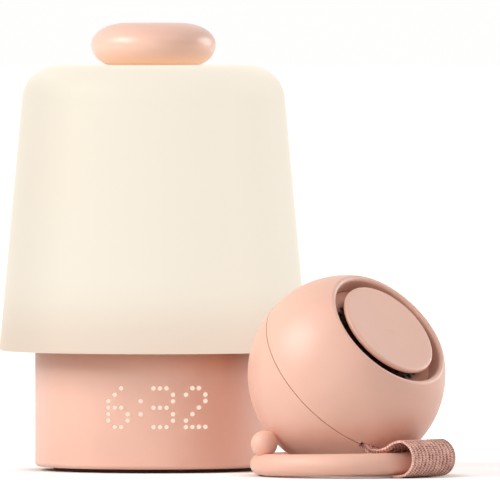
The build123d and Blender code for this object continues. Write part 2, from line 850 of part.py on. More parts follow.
def top_dial():
    """Pill-shaped knob, hollow below, with a hub for the shaft."""
    widest = dial_bottom + dial_widest_above_bottom
    up = dial_top - widest
    body = turned([
        line_xz((0, dial_bottom), (dial_bottom_flat_radius, dial_bottom)),
        oval_xz(
            (dial_bottom_flat_radius, widest), dial_radius - dial_bottom_flat_radius,
            dial_widest_above_bottom, 270, 360,
        ),
        oval_xz((dial_flat_radius, widest), dial_radius - dial_flat_radius, up, 0, 90),
        line_xz((dial_flat_radius, dial_top), (0, dial_top)),
        line_xz((0, dial_top), (0, dial_bottom)),
    ])
    plate_top = dial_bottom + dial_underplate_thickness
    body -= drum(dial_underplate_radius + dial_underplate_fit, dial_bottom - 1, plate_top)
    hollow_radius = dial_underplate_radius - dial_underplate_seat
    body -= sleeve(hollow_radius, dial_hub_radius, plate_top, dial_top - dial_wall)
    body -= drum(nut_radius + nut_room, dial_bottom - 1, dial_well_floor + nut_height + nut_headroom)
    return body - drum(shaft_radius, dial_bottom - 1, dial_shaft_top)


def dial_underplate():
    """Plate that closes the knob from below and hides the nut."""
    inner = nut_radius + nut_room
    return sleeve(dial_underplate_radius, inner, dial_bottom, dial_bottom + dial_underplate_thickness)


def dial_parts():
    """Encoder, plunger, shaft and nut under the knob."""
    seat = Pos(0, 0, encoder_seat)
    return {
        "dial_encoder": seat * encoder(dial_bushing_length),
        "dial_plunger": seat * encoder_plunger(),
        "dial_shaft": seat * encoder_shaft(dial_shaft_top - encoder_seat),
        "dial_nut": Pos(0, 0, dial_well_floor) * ring_nut(),
    }


def speaker_parts(prefix, sizes, frame):
    """The five pieces of a loudspeaker, placed in their frame."""
    return {
        prefix + "_basket": frame * sizes.basket(),
        prefix + "_magnet": frame * sizes.magnet(),
        prefix + "_cone": frame * sizes.cone(),
        prefix + "_surround": frame * sizes.surround(),
        prefix + "_gasket": frame * sizes.gasket(),
    }


# ---------------------------------------------------------------- portable unit
def slot_cut():
    """Opening on the seam through which the strap enters the ball."""
    height = strap_slot_height / 2
    half = strap_slot_length / 2
    depth = 2 * ball_wall
    return slot_frame * block((-half, -height, ball_radius - depth), (half, height, ball_radius + depth))


def front_shell():
    """Front part of the ball with the rounded mouth and the recess tube."""
    lower = seam_offset + seam_gap / 2
    body = Sphere(ball_radius) - Sphere(ball_radius - ball_wall)
    tube = sleeve(mouth_radius + mouth_tube_wall, mouth_radius, mouth_tube_bottom, mouth_height)
    body += tube & Sphere(ball_radius - ball_wall / 4)
    body -= drum(mouth_radius, mouth_tube_bottom - 1, ball_radius + 1)
    body -= drum(ball_radius + 1, -ball_radius - 1, lower)
    rim = body.edges().filter_by(GeomType.CIRCLE).filter_by(
        lambda edge: abs(edge.radius - mouth_radius) < 0.01 and edge.center().Z > grille_top + 1
    )
    body = fillet(rim, mouth_round)
    body -= drum(seam_lip_outer() + seam_fit, lower - 1, lower + seam_lip_height)
    ledge_top = grille_top - grille_thickness
    ledge_outer = mouth_radius + mouth_tube_wall / 2
    body += sleeve(ledge_outer, mouth_radius - grille_ledge, ledge_top - grille_ledge, ledge_top)
    return face_frame * body - slot_cut()


def seam_lip_outer():
    """Outer radius of the lip that the two shells share."""
    return ball_radius - ball_wall + seam_lip_wall / 2


def rear_shell():
    """Rear part of the ball with the seam lip, the pin's lugs, the socket's shelf and the pad's pocket."""
    upper = seam_offset - seam_gap / 2
    body = Sphere(ball_radius) - Sphere(ball_radius - ball_wall)
    body -= drum(ball_radius + 1, upper, ball_radius + 1)
    lip_inner = seam_lip_outer() - seam_lip_wall
    body += sleeve(seam_lip_outer(), lip_inner, upper - seam_lip_wall, upper + seam_lip_height)
    body = face_frame * body - slot_cut()
    body -= Pos(ball_x, ball_y, 0) * drum(foot_pad_radius + foot_pad_fit, 0, foot_pad_top)
    body += pin_lugs() + charge_shelf()
    return body - charge_hole()


def shell_room():
    """Ball that reaches a little into the shells' wall, for what grows from it."""
    return Pos(*ball_centre) * Sphere(ball_radius - ball_wall * 0.8)


def on_pin(shape):
    """A shape about Z laid on the strap pin's axis, in the slot's frame."""
    return slot_frame * Rot(0, 90, 0) * Pos(-strap_pin_depth, -strap_pin_drop, 0) * shape


def pin_lugs():
    """Two lugs inside the slot that hold the strap's pin."""
    inner = strap_slot_length / 2 + lug_gap
    outer = strap_pin_length / 2
    lug_wall = 2 * strap_pin_radius
    low = strap_pin_depth - lug_wall
    back = -strap_pin_drop - strap_pin_radius - lug_wall / 4
    front = lug_wall / 2
    lugs = block((inner, back, low), (outer, front, ball_radius))
    lugs += block((-outer, back, low), (-inner, front, ball_radius))
    bore = on_pin(Cylinder(strap_pin_radius + strap_pin_fit, 2 * strap_pin_length))
    return ((slot_frame * lugs) & shell_room()) - bore


def strap_pin():
    """Steel pin that holds the strap's end inside the ball."""
    return on_pin(Cylinder(strap_pin_radius, strap_pin_length))


def charge_hole():
    """Rounded opening in the rear of the ball for the charging plug."""
    start = ball_radius - charge_board_inset - inlet_depth - inlet_margin
    origin = along(ball_centre, (charge_axis, start))
    frame = Plane(origin=origin, x_dir=charge_frame.x_dir, z_dir=charge_axis)
    return frame * plug_slot(ball_radius - start + 1)


def charge_shelf():
    """Shelf inside the rear shell that carries the charging board."""
    half = charge_board_width / 2
    top = charge_level - board_thickness
    shelf = block((-half, -charge_board_length, top - charge_shelf_thickness), (half, ball_wall, top))
    return (charge_frame * shelf) & shell_room()


def charge_board():
    """Small board that carries the charging socket."""
    margin = board_thickness / 3
    half = charge_board_width / 2 - margin
    low = charge_level - board_thickness
    return charge_frame * block(
        (-half, margin - charge_board_length, low), (half, -charge_board_end, charge_level)
    )


def charge_socket():
    """USB-C receptacle of the portable unit."""
    return charge_frame * Pos(0, -charge_board_end / 2, charge_level) * socket_shell(inlet_depth)


def foot_pad():
    """Soft pad under the ball that keeps it from rolling."""
    pad = drum(foot_pad_radius, 0, foot_pad_top)
    return Pos(ball_x, ball_y, 0) * fillet(pad.edges().group_by(Axis.Z)[0], foot_pad_round)


def disc_grille():
    """Perforated carrier under the volume disc, with a solid middle for the encoder."""
    low = grille_top - grille_thickness
    plate = drum(mouth_radius - grille_fit, low, grille_top)
    plate -= drum(bushing_radius + bushing_fit, low - 1, grille_top + 1)
    hole = drum(disc_grille_hole_radius, low - 1, grille_top + 1)
    holes = []
    for circle in range(disc_grille_circles):
        radius = disc_grille_first_circle + disc_grille_circle_step * circle
        count = disc_grille_first_count + disc_grille_count_step * circle
        holes += [Rot(0, 0, 360 * i / count) * Pos(radius, 0, 0) * hole for i in range(count)]
    return face_frame * (plate - Compound(children=holes))


def volume_disc():
    """Thin floating disc: round edge, shallow dish and a hub below for the shaft."""
    low = disc_top - disc_thickness
    hub_low = low - disc_hub_height
    body = drum(disc_radius, low, disc_top)
    body = fillet(body.edges().group_by(Axis.Z)[-1], disc_edge_round)
    body = fillet(body.edges().group_by(Axis.Z)[0], disc_edge_round)
    dish_radius = (disc_radius - disc_dish_rim) ** 2 / (2 * disc_dish)
    body -= Pos(0, 0, disc_top - disc_dish + dish_radius) * Sphere(dish_radius)
    body += drum(disc_hub_radius, hub_low, low + disc_thickness / 2)
    return face_frame * (body - drum(shaft_radius, hub_low - 1, disc_shaft_top))


disc_shaft_top = disc_top - disc_dish - disc_shaft_roof
disc_encoder_seat = grille_top - grille_thickness
disc_bushing_length = grille_thickness + nut_height + bushing_over_nut


def disc_parts():
    """Encoder, plunger, shaft and nut under the volume disc."""
    seat = face_frame * Pos(0, 0, disc_encoder_seat)
    return {
        "disc_encoder": seat * encoder(disc_bushing_length),
        "disc_plunger": seat * encoder_plunger(),
        "disc_shaft": seat * encoder_shaft(disc_shaft_top - disc_encoder_seat),
        "disc_nut": face_frame * Pos(0, 0, grille_top) * ring_nut(),
    }


ball_speaker_front = mouth_tube_bottom - speaker_gasket_thickness
ball_speaker_frame = Plane(
    origin=along(ball_centre, (face_axis, ball_speaker_front)), x_dir=face_side, z_dir=face_axis
)
magnet_back = ball_speaker_front - ball_speaker.depth - ball_speaker.magnet_height
battery_front = magnet_back - battery_pad_thickness
battery_back = battery_front - battery_thickness


def battery_pad():
    """Foam block between the magnet and the battery."""
    half = ball_magnet_radius * 0.7
    return face_frame * block((-half, -half, battery_front), (half, half, magnet_back))


def battery_cell():
    """Flat lithium pouch cell."""
    cell = block(
        (-battery_length / 2, -battery_width / 2, battery_back),
        (battery_length / 2, battery_width / 2, battery_front),
    )
    return face_frame * fillet(cell.edges().filter_by(Axis.Y), battery_edge_round)


def battery_cradle():
    """Tray that holds the cell and stands on four legs in the rear shell."""
    half_x = battery_length / 2 + cradle_rim
    half_y = battery_width / 2 + cradle_rim
    low = battery_back - cradle_plate
    tray = block((-half_x, -half_y, low), (half_x, half_y, battery_back + cradle_rim_height))
    room_x = battery_length / 2 + cradle_fit
    room_y = battery_width / 2 + cradle_fit
    tray -= block((-room_x, -room_y, battery_back), (room_x, room_y, battery_front))
    for seat in cradle_leg_seats():
        tray += seat * drum(cradle_leg_radius, -ball_radius, low + cradle_plate / 2)
    tray &= Sphere(ball_radius - ball_wall - cradle_shell_gap)
    return face_frame * tray


def cradle_leg_seats():
    """Places of the cradle's four legs."""
    return [
        Pos(x, y, 0) for x in (-cradle_leg_x, cradle_leg_x) for y in (-cradle_leg_y, cradle_leg_y)
    ]


def control_board():
    """Circuit board of the portable unit, threaded on the cradle's legs."""
    high = battery_back - cradle_plate - control_board_gap
    low = high - board_thickness
    board = block(
        (-control_board_length / 2, -control_board_width / 2, low),
        (control_board_length / 2, control_board_width / 2, high),
    )
    reach = math.sqrt((ball_radius - ball_wall) ** 2 - low ** 2) - control_board_room
    board &= drum(reach, low, high)
    for seat in cradle_leg_seats():
        board -= seat * drum(cradle_leg_radius + cradle_shell_gap, low - 1, high + 1)
    return face_frame * board


def control_board_chips():
    """Chips on the outer side of the control board."""
    high = battery_back - cradle_plate - control_board_gap - board_thickness
    under = face_frame * Pos(0, 0, high) * Rot(180, 0, 0)
    return [under * chip(*row) for row in control_chips]


# ---------------------------------------------------------------- ring, toggle and strap
def toggle_stud(fit):
    """Ball, stem and foot of the toggle about its own Z, grown by a fit."""
    foot_low = -ring_tube_radius + toggle_foot_recess
    foot_high = foot_low + toggle_foot_height
    stud = Pos(0, 0, toggle_height) * Sphere(toggle_radius + fit)
    stud += drum(toggle_stem_radius + fit, foot_low, toggle_height)
    return stud + drum(toggle_foot_radius + fit, foot_low - fit, foot_high + fit)


def carry_ring():
    """Silicone ring with a hole and a seat for the toggle."""
    ring = Rot(0, 0, 180) * Torus(ring_radius, ring_tube_radius)
    foot_low = -ring_tube_radius + toggle_foot_recess
    tool = toggle_stud(toggle_fit) + drum(toggle_foot_radius + toggle_fit, -ring_tube_radius - 1, foot_low)
    return toggle_turn() * (ring - Pos(ring_radius, 0, 0) * tool)


def toggle_turn():
    """The ring's frame, turned so that X points at the toggle."""
    return ring_frame * Rot(0, 0, toggle_angle - ring_strap_angle)


def ring_toggle():
    """Ball-headed stud that closes the ring."""
    return toggle_turn() * Pos(ring_radius, 0, 0) * toggle_stud(0)


def loop_outline(inset):
    """Teardrop section of the strap's loop, standing on the table, moved inwards by an inset."""
    big = Circle(strap_outer_round - inset)
    small = Circle(strap_inner_round - inset)
    big = Pos(strap_outer_centre, strap_outer_round) * big
    small = Pos(strap_inner_centre, strap_inner_round) * small
    return make_hull((big + small).edges())


def strap_loop():
    """Woven band around the ring's tube."""
    outer = extrude(loop_outline(0), strap_width / 2, both=True)
    inner = extrude(loop_outline(strap_thickness), strap_width / 2 + 1, both=True)
    return loop_placing() * (outer - inner)


def loop_placing():
    """Frame whose X points outwards from the ring, Y up and Z along the tube."""
    return Plane(origin=(ring_hold[0], ring_hold[1], 0), x_dir=strap_out, z_dir=cross(strap_out, (0, 0, 1)))


def strap_root():
    """Bunched end of the strap that passes through the slot and around the pin."""
    half = strap_root_width / 2
    thick = strap_root_thickness / 2
    neck_top = strap_pin_depth + strap_pin_radius + strap_eye_wall / 2
    neck_low = neck_top - strap_neck_thickness
    tab = block((-half, -thick, neck_low), (half, thick, ball_radius + strap_root_reach))
    neck = block((-half, -strap_pin_drop, neck_low), (half, thick, neck_top))
    eye = on_pin(Cylinder(strap_pin_radius + strap_eye_wall, strap_root_width))
    hole = on_pin(Cylinder(strap_pin_radius + strap_pin_fit, strap_pin_length))
    return slot_frame * (tab + neck) + eye - hole


# ---------------------------------------------------------------- writing the parts
def bedside_parts():
    """Every node of the bedside unit."""
    parts = {
        "foot_ring": foot_ring(),
        "bottom_cover": bottom_cover(),
        "cover_screws": cover_screw_set(),
        "base_housing": base_housing(),
        "main_board": main_board(),
        "main_board_chips": main_board_chips(),
        "power_inlet": power_inlet(),
        "clock_mask": clock_mask(),
        "clock_board": clock_board(),
        "clock_lights": clock_lights(),
        "column_nut": column_nut(),
        "lamp_column": lamp_column(),
        "light_board": light_board(),
        "light_leds": light_leds(),
        "shade": shade(),
        "top_dial": top_dial(),
        "dial_underplate": dial_underplate(),
    }
    parts.update(dial_parts())
    parts.update(speaker_parts("base_speaker", base_speaker, speaker_frame))
    return parts


def portable_parts():
    """Every node of the portable unit with its ring and strap."""
    parts = {
        "front_shell": front_shell(),
        "rear_shell": rear_shell(),
        "foot_pad": foot_pad(),
        "disc_grille": disc_grille(),
        "volume_disc": volume_disc(),
        "battery_pad": battery_pad(),
        "battery_cell": battery_cell(),
        "battery_cradle": battery_cradle(),
        "control_board": control_board(),
        "control_board_chips": control_board_chips(),
        "charge_board": charge_board(),
        "charge_socket": charge_socket(),
        "strap_pin": strap_pin(),
        "strap_root": strap_root(),
        "strap_loop": strap_loop(),
        "carry_ring": carry_ring(),
        "ring_toggle": ring_toggle(),
    }
    parts.update(disc_parts())
    parts.update(speaker_parts("ball_speaker", ball_speaker, ball_speaker_frame))
    return parts


def write_parts(parts):
    """Write one STEP file for each node."""
    os.makedirs(PART_FOLDER, exist_ok=True)
    for name, shape in parts.items():
        solids = Compound(children=shape) if isinstance(shape, list) else shape
        export_step(solids, os.path.join(PART_FOLDER, name + ".step"))


write_parts(bedside_parts())
write_parts(portable_parts())
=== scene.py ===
"""Looks of a two-unit sound machine: a bedside lamp with a dial and a clock, and a ball-shaped speaker.

Metres, +Z up, in the CAD model's own frame. Each sub-assembly is a class that models its meshes and
dresses them; each finish is a small frozen class that builds one procedural material.
"""

import json
import logging
import math
from contextlib import contextmanager
from dataclasses import dataclass, field
from enum import Enum
from typing import Iterator, Optional, Sequence, Union

import bmesh
import bpy
from mathutils import Matrix, Vector

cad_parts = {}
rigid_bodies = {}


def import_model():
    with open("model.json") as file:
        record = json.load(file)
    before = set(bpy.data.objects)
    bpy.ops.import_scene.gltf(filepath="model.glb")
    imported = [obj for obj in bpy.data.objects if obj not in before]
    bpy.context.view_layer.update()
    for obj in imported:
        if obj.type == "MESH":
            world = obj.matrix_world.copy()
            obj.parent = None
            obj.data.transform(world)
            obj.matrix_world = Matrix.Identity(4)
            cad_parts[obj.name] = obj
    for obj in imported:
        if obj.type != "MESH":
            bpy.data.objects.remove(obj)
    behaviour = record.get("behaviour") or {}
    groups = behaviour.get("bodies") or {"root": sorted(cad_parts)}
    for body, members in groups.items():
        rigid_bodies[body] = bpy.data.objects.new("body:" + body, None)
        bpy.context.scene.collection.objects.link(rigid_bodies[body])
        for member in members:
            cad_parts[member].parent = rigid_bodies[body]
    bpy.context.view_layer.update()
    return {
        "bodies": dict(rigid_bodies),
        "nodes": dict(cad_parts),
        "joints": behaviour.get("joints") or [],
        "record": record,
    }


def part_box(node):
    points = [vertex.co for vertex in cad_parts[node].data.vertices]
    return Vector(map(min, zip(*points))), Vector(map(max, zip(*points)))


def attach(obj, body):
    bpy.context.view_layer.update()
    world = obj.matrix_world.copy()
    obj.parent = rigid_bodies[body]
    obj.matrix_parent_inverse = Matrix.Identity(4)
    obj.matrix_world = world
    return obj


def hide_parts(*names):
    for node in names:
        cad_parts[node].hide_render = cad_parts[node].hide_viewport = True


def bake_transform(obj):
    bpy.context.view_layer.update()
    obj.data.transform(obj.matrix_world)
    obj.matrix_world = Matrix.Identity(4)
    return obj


LOG = logging.getLogger("sound_machine")
MM = 0.001
FULL_TURN = 2 * math.pi
BLACK = (0.0, 0.0, 0.0)
UV_MIDDLE = (0.5, 0.5)

# Vertices nearer than this, in metres, become one.
MERGE = 0.001 * MM

# The band's curve stops this share of a step short of its last station.
STATION_END = 0.001

# Numbers of the Mix node's sockets for colours, whose names aren't their own.
MIX_FIRST, MIX_SECOND, MIX_COLOUR = 6, 7, 2

Colour = tuple[float, float, float]
Point = tuple[float, float]
Value = Union["Signal", float, Sequence[float]]


def srgb(red: int, green: int, blue: int) -> Colour:
    """Linear colour of three 0 to 255 display values."""
    def linear(value: float) -> float:
        """One channel of it."""
        share = value / 255
        return share / 12.92 if share <= 0.04045 else ((share + 0.055) / 1.055) ** 2.4
    return linear(red), linear(green), linear(blue)


# ------------------------------------------------------------------ shader helper
class Signal:
    """Output socket of a node, with arithmetic that adds Math nodes."""

    def __init__(self, graph: "Graph", socket: bpy.types.NodeSocket) -> None:
        """Wrap a socket of a graph."""
        self.graph = graph
        self.socket = socket

    def out(self, name: str) -> "Signal":
        """Another output of the same node."""
        return Signal(self.graph, self.socket.node.outputs[name])

    def math(self, operation: str, *others: Value) -> "Signal":
        """Math node with this signal as its first value."""
        sockets = dict(enumerate((self, *others)))
        return self.graph.node("ShaderNodeMath", {"operation": operation}, sockets)

    def smooth(self, low: float, high: float) -> "Signal":
        """Smooth step from 0 at low to 1 at high; low may be the larger one."""
        sockets = {"Value": self, "From Min": low, "From Max": high}
        return self.graph.node("ShaderNodeMapRange", {"interpolation_type": "SMOOTHSTEP"}, sockets)

    def __add__(self, other: Value) -> "Signal":
        """Sum."""
        return self.math("ADD", other)

    __radd__ = __add__

    def __mul__(self, other: Value) -> "Signal":
        """Product."""
        return self.math("MULTIPLY", other)

    def __sub__(self, other: Value) -> "Signal":
        """Difference."""
        return self.math("SUBTRACT", other)

    def __rsub__(self, other: float) -> "Signal":
        """Difference from a number."""
        return self.math("MULTIPLY_ADD", -1.0, other)

    def __pow__(self, other: float) -> "Signal":
        """Power."""
        return self.math("POWER", other)


class Graph:
    """Node tree of one material or world."""

    def __init__(self, owner: Union[bpy.types.Material, bpy.types.World]) -> None:
        """Empty the tree of a material or world.

        Args:
            owner: what the tree belongs to.
        """
        owner.use_nodes = True
        self.owner = owner
        self.tree = owner.node_tree
        self.tree.nodes.clear()

    @classmethod
    def of_material(cls, name: str) -> "Graph":
        """Tree of a new material."""
        return cls(bpy.data.materials.new(name))

    def node(self, kind: str, settings: Optional[dict] = None, sockets: Optional[dict] = None) -> Signal:
        """Add a node.

        Args:
            kind: the node's type.
            settings: its properties; "stops" holds a ramp's (place, colour) pairs.
            sockets: values or signals for its inputs, by name or number.

        Returns:
            The node's first output.
        """
        made = self.tree.nodes.new(kind)
        for key, value in (settings or {}).items():
            if key == "stops":
                self._fill_ramp(made.color_ramp, value)
            else:
                setattr(made, key, value)
        for key, value in (sockets or {}).items():
            self.feed(made.inputs[key], value)
        return Signal(self, made.outputs[0]) if made.outputs else Signal(self, made.inputs[0])

    def feed(self, socket: bpy.types.NodeSocket, value: Value) -> None:
        """Link a signal to a socket, or set the socket's value."""
        if isinstance(value, Signal):
            self.tree.links.new(value.socket, socket)
        elif socket.type == "RGBA":
            socket.default_value = (*value[:3], 1.0)
        else:
            socket.default_value = value

    @staticmethod
    def _fill_ramp(ramp: bpy.types.ColorRamp, stops: Sequence[tuple[float, Colour]]) -> None:
        """Give a colour ramp its stops."""
        while len(ramp.elements) < len(stops):
            ramp.elements.new(0.5)
        for element, (place, colour) in zip(ramp.elements, stops):
            element.position = place
            element.color = (*colour, 1.0)

    def place(self, source: str = "Object") -> Signal:
        """Texture coordinates."""
        return self.node("ShaderNodeTexCoord").out(source)

    def moved(self, vector: Signal, **settings: Sequence[float]) -> Signal:
        """Coordinates through a Mapping node, with Location, Rotation or Scale."""
        return self.node("ShaderNodeMapping", None, {"Vector": vector, **settings})

    def parts(self, vector: Signal) -> tuple[Signal, Signal, Signal]:
        """The three numbers of a vector."""
        split = self.node("ShaderNodeSeparateXYZ", None, {0: vector})
        return split.out("X"), split.out("Y"), split.out("Z")

    def noise(self, vector: Signal, scale: float, detail: float = 2.0, rough: float = 0.5) -> Signal:
        """Noise from 0 to 1, about 0.5."""
        sockets = {"Vector": vector, "Scale": scale, "Detail": detail, "Roughness": rough}
        return self.node("ShaderNodeTexNoise", None, sockets)

    def mix(self, factor: Value, first: Value, second: Value) -> Signal:
        """Colour between two colours."""
        sockets = {"Factor": factor, MIX_FIRST: first, MIX_SECOND: second}
        made = self.node("ShaderNodeMix", {"data_type": "RGBA"}, sockets)
        return Signal(self, made.socket.node.outputs[MIX_COLOUR])

    def ramp(self, factor: Value, *stops: tuple[float, Colour]) -> Signal:
        """Colour ramp."""
        return self.node("ShaderNodeValToRGB", {"stops": stops}, {"Fac": factor})

    def vectors(self, operation: str, *values: Value) -> Signal:
        """Vector Math node, with the output that the operation fills."""
        made = self.node("ShaderNodeVectorMath", {"operation": operation}, dict(enumerate(values)))
        return made.out("Value") if operation in ("DOT_PRODUCT", "LENGTH") else made

    def from_middle(self, node: str) -> Signal:
        """Object coordinates, counted from the middle of a CAD node's box."""
        low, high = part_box(node)
        return self.moved(self.place(), Location=-(low + high) / 2)

    def distance(self, across: Signal, deep: Signal, middle: Point) -> Signal:
        """Distance in a plane from a point."""
        east, north = across - middle[0], deep - middle[1]
        return (east * east + north * north) ** 0.5

    def bump(self, height: Signal, distance: float) -> Signal:
        """Normal from a height, with the height's size in metres."""
        return self.node("ShaderNodeBump", None, {"Height": height, "Distance": distance, "Strength": 1.0})

    def surface(self, **sockets: Value) -> bpy.types.Material:
        """Close the tree with a Principled shader.

        Args:
            **sockets: the shader's inputs, with _ for each space of a name.

        Returns:
            The finished material.
        """
        named = {key.replace("_", " "): value for key, value in sockets.items()}
        shader = self.node("ShaderNodeBsdfPrincipled", None, named)
        self.node("ShaderNodeOutputMaterial", None, {"Surface": shader})
        return self.owner


# ------------------------------------------------------------------ finishes
@dataclass(frozen=True)
class SoftTouchPlastic:
    """Matt moulded plastic with a fine spark-eroded grain and a faint cloudiness.

    Between two heights, given in metres, it may blend to a deep colour of painted light: painted shade under
    the lamp's shade on the housing, and a painted warm glow of the shade's light on the dial's underside.
    """

    name: str
    colour: Colour
    roughness: float = 0.42
    grain_per_metre: float = 5200.0
    grain_depth: float = 0.0035 * MM
    cloud: float = 0.035
    cloud_per_metre: float = 38.0
    cloud_roughness: float = 0.12
    pore_roughness: float = 0.08
    pore_share: float = 0.8
    pores_to_grain: float = 0.31
    specular: float = 0.7
    subsurface: float = 0.0
    subsurface_depth: float = 4.0 * MM
    subsurface_reach: Colour = (0.6, 0.32, 0.22)
    sheen: float = 0.12
    sheen_roughness: float = 0.5
    deep: Optional[Colour] = None
    painted_light_from: float = 0.0
    painted_light_to: float = 0.0

    def build(self) -> bpy.types.Material:
        """The material."""
        graph = Graph.of_material(self.name)
        place = graph.place()
        cloud = graph.noise(place, self.cloud_per_metre, 3.0)
        grain = graph.noise(place, self.grain_per_metre, 1.0)
        pores = graph.noise(place, self.grain_per_metre * self.pores_to_grain, 2.0)
        rough = (cloud - 0.5) * self.cloud_roughness + (pores - 0.5) * self.pore_roughness
        darker = tuple(c * (1 - self.cloud) for c in self.colour)
        lighter = tuple(min(1.0, c * (1 + self.cloud)) for c in self.colour)
        colour = graph.ramp(cloud, (0.3, darker), (0.7, lighter))
        # Painted light: blend to the deep colour between two heights, as shade or glow that the lamps don't
        # give.
        if self.deep:
            painted_light_share = graph.parts(place)[2].smooth(self.painted_light_from, self.painted_light_to)
            colour = graph.mix(painted_light_share, colour, self.deep)
        return graph.surface(
            Base_Color=colour,
            Roughness=rough + self.roughness,
            Normal=graph.bump(grain + pores * self.pore_share, self.grain_depth),
            Specular_IOR_Level=self.specular,
            Subsurface_Weight=self.subsurface,
            Subsurface_Radius=self.subsurface_reach,
            Subsurface_Scale=self.subsurface_depth,
            Sheen_Weight=self.sheen,
            Sheen_Roughness=self.sheen_roughness,
        )


@dataclass(frozen=True)
class RecessFloor:
    """Moulded floor of the ball's recess: body colour outside the disc, and painted shade under it, where the
    disc shades the floor.

    The azimuth, from the front to the right, and the elevation give the axis of the recess.
    """

    name: str
    colour: Colour
    dark: Colour
    unshaded_radius: float = 22.0 * MM
    painted_shade_radius: float = 17.5 * MM
    edge_wander: float = 0.4 * MM
    cloud_per_metre: float = 300.0
    grain_per_metre: float = 5200.0
    grain_depth: float = 0.0035 * MM
    roughness: float = 0.6
    specular: float = 0.3
    azimuth: float = 49.6
    elevation: float = 39.6

    def build(self) -> bpy.types.Material:
        """The material."""
        graph = Graph.of_material(self.name)
        place = graph.place()
        turn, rise = math.radians(self.azimuth), math.radians(self.elevation)
        axis = (math.cos(rise) * math.sin(turn), -math.cos(rise) * math.cos(turn), math.sin(rise))
        crossed = graph.vectors("CROSS_PRODUCT", graph.from_middle("disc_grille"), axis)
        radius = graph.vectors("LENGTH", crossed)
        cloud = graph.noise(place, self.cloud_per_metre, 3.0)
        grain = graph.noise(place, self.grain_per_metre, 1.0)
        # Painted shade: the floor turns dark inside the disc's edge, where the disc hides it from the lamps.
        clear = (radius + (cloud - 0.5) * self.edge_wander).smooth(self.painted_shade_radius, self.unshaded_radius)
        return graph.surface(
            Base_Color=graph.mix(clear, self.dark, self.colour),
            Roughness=self.roughness + (cloud - 0.5) * 0.1,
            Normal=graph.bump(grain, self.grain_depth),
            Specular_IOR_Level=self.specular,
        )


@dataclass(frozen=True)
class FrostedShade:
    """Milky translucent shade: its outer skin glows from within, with painted bounce light that warms it at
    the rim and painted shade that dims its left and right sides.
    """

    name: str
    colour: Colour
    warm: Colour
    light: Colour
    painted_bounce_light: Colour
    painted_bounce_height: float = 30.0 * MM
    skin: float = 2.0 * MM
    painted_side_shade: float = 0.12
    painted_side_shade_from: float = 0.55
    cloud_per_metre: float = 16.0
    grain_per_metre: float = 3600.0
    grain_depth: float = 0.003 * MM
    roughness: float = 0.5
    specular: float = 0.12

    def build(self) -> bpy.types.Material:
        """The material."""
        graph = Graph.of_material(self.name)
        place = graph.place()
        normal = graph.place("Normal")
        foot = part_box("shade")[0].z
        away = graph.vectors("DOT_PRODUCT", graph.from_middle("shade"), normal)
        outer = away.smooth(-self.skin, self.skin)
        # Painted shade: the glow dims where the skin faces left or right.
        painted_side_mask = graph.parts(normal)[0].math("ABSOLUTE").smooth(self.painted_side_shade_from, 1.0)
        # Painted bounce light: the glow warms towards the rim.
        rim = graph.parts(place)[2].smooth(foot + self.painted_bounce_height, foot)
        cloud = graph.noise(place, self.cloud_per_metre, 2.0)
        grain = graph.noise(place, self.grain_per_metre, 1.0)
        shine = graph.mix(rim, self.light, self.painted_bounce_light)
        shine = graph.mix(painted_side_mask * self.painted_side_shade, shine, BLACK)
        return graph.surface(
            Base_Color=graph.ramp(cloud, (0.3, self.colour), (0.75, self.warm)),
            Roughness=self.roughness + (cloud - 0.5) * 0.1,
            Normal=graph.bump(grain, self.grain_depth),
            Emission_Color=graph.mix(outer, BLACK, shine),
            Emission_Strength=1.0,
            Specular_IOR_Level=self.specular,
        )


@dataclass(frozen=True)
class LitDot:
    """Spot of light on the housing's wall: bright in its core and fading into the plastic at its edge.

    The core and the edge are radii in a UV map that is 1 across.
    """

    name: str
    colour: Colour
    light: Colour
    under: Colour = (0.06, 0.05, 0.04)
    core: float = 0.26
    edge: float = 0.5
    roughness: float = 0.45
    specular: float = 0.2

    def build(self) -> bpy.types.Material:
        """The material."""
        graph = Graph.of_material(self.name)
        across, up, _ = graph.parts(graph.place("UV"))
        lit = graph.distance(across, up, UV_MIDDLE).smooth(self.edge, self.core)
        return graph.surface(
            Base_Color=graph.mix(lit, self.colour, self.under),
            Roughness=self.roughness - lit * 0.05,
            Emission_Color=graph.mix(lit, BLACK, self.light),
            Emission_Strength=1.0,
            Alpha=lit,
            Specular_IOR_Level=self.specular,
        )


